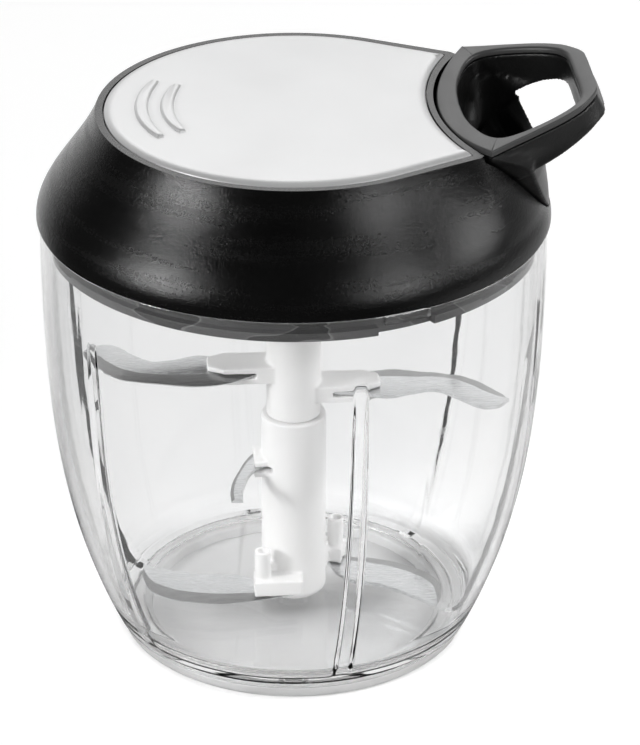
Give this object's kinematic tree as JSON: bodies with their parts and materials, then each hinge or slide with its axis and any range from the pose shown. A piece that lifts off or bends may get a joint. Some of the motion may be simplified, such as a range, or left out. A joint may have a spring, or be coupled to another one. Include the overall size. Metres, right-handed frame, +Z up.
{
  "type": "pull cord food chopper",
  "caption": "Hand food chopper: pulling a corded handle out of the lid spins curved blades in a clear bowl closed by a twist lock lid.",
  "frame": {"origin": "on the surface that the foot stands on, below the middle of the outline seen from above; the bowl's axis is at x = -0.00725 m", "axes": "+Z up along the bowl's axis, +X out through the pull handle, +Y to the right-hand rule"},
  "size_m": [0.1424, 0.128, 0.1508],
  "materials": {
    "clear_plastic": "clear moulded plastic, polished inside and out",
    "soft_ring": "frosted soft ring, matt",
    "grey_seal": "grey soft seal, matt",
    "white_plastic": "white moulded plastic, low gloss",
    "bright_steel": "stamped or turned bright steel",
    "satin_plate": "satin silver facing plate",
    "black_plastic": "black plastic with a fine spark grain",
    "dark_plastic": "smooth dark plastic",
    "bearing_plastic": "natural bearing plastic",
    "white_cord": "braided white cord"
  },
  "bodies": {
    "bowl_unit": {"bowl": "clear_plastic", "foot_ring": "soft_ring", "pivot_pin": "bright_steel"},
    "spindle_unit": {"spindle": "bright_steel", "retaining_screw": "bright_steel"},
    "lid_unit": {"lid_dome": "black_plastic", "top_plate": "satin_plate", "lid_plug": "dark_plastic", "lid_seal": "grey_seal", "lid_screw_1": "bright_steel", "lid_screw_2": "bright_steel", "lid_screw_3": "bright_steel", "lid_screw_4": "bright_steel", "cover_screw_1": "bright_steel", "cover_screw_2": "bright_steel", "cover_screw_3": "bright_steel", "lid_bush": "bearing_plastic", "spring_cover": "white_plastic", "cord_guide": "bright_steel", "recoil_spring": "bright_steel"},
    "drive_unit": {"drive_coupling": "white_plastic", "cord_reel": "white_plastic", "cord_winding": "white_cord"},
    "blade_unit": {"blade_shaft_lower": "white_plastic", "blade_shaft_upper": "white_plastic", "upper_blade_left": "bright_steel", "upper_blade_right": "bright_steel", "lower_blade_left": "bright_steel", "lower_blade_right": "bright_steel", "middle_blade": "bright_steel"},
    "handle_unit": {"handle_body": "black_plastic", "handle_cap": "black_plastic", "cord_ferrule": "bright_steel", "cord_lead": "white_cord"}
  },
  "joints": [
    {"name": "lid_lift", "type": "slide", "parent": "bowl_unit", "child": "spindle_unit", "axis": [0, 0, 1], "range_m": [0, 0.08]},
    {"name": "lid_lock", "type": "hinge", "parent": "spindle_unit", "child": "lid_unit", "pos_m": [-0.00725, 0, 0], "axis": [0, 0, 1], "range_deg": [-27, 0]},
    {"name": "drive_spin", "type": "hinge", "parent": "spindle_unit", "child": "drive_unit", "pos_m": [-0.00725, 0, 0], "axis": [0, 0, 1], "range_deg": [0, 1006]},
    {"name": "blade_spin", "type": "hinge", "parent": "bowl_unit", "child": "blade_unit", "pos_m": [-0.00725, 0, 0], "axis": [0, 0, 1], "range_deg": [0, 1006]},
    {"name": "handle_pull", "type": "slide", "parent": "lid_unit", "child": "handle_unit", "axis": [1, 0, 0], "range_m": [0, 0.3], "stiffness_N_per_m": 20, "springref_m": -0.25, "deforming": ["recoil_spring", "cord_winding", "cord_lead"]}
  ],
  "couplings": [
    {"joint": "drive_spin", "follows": "handle_pull", "rad_per_m": 58.48},
    {"joint": "blade_spin", "follows": "handle_pull", "rad_per_m": 58.48}
  ]
}
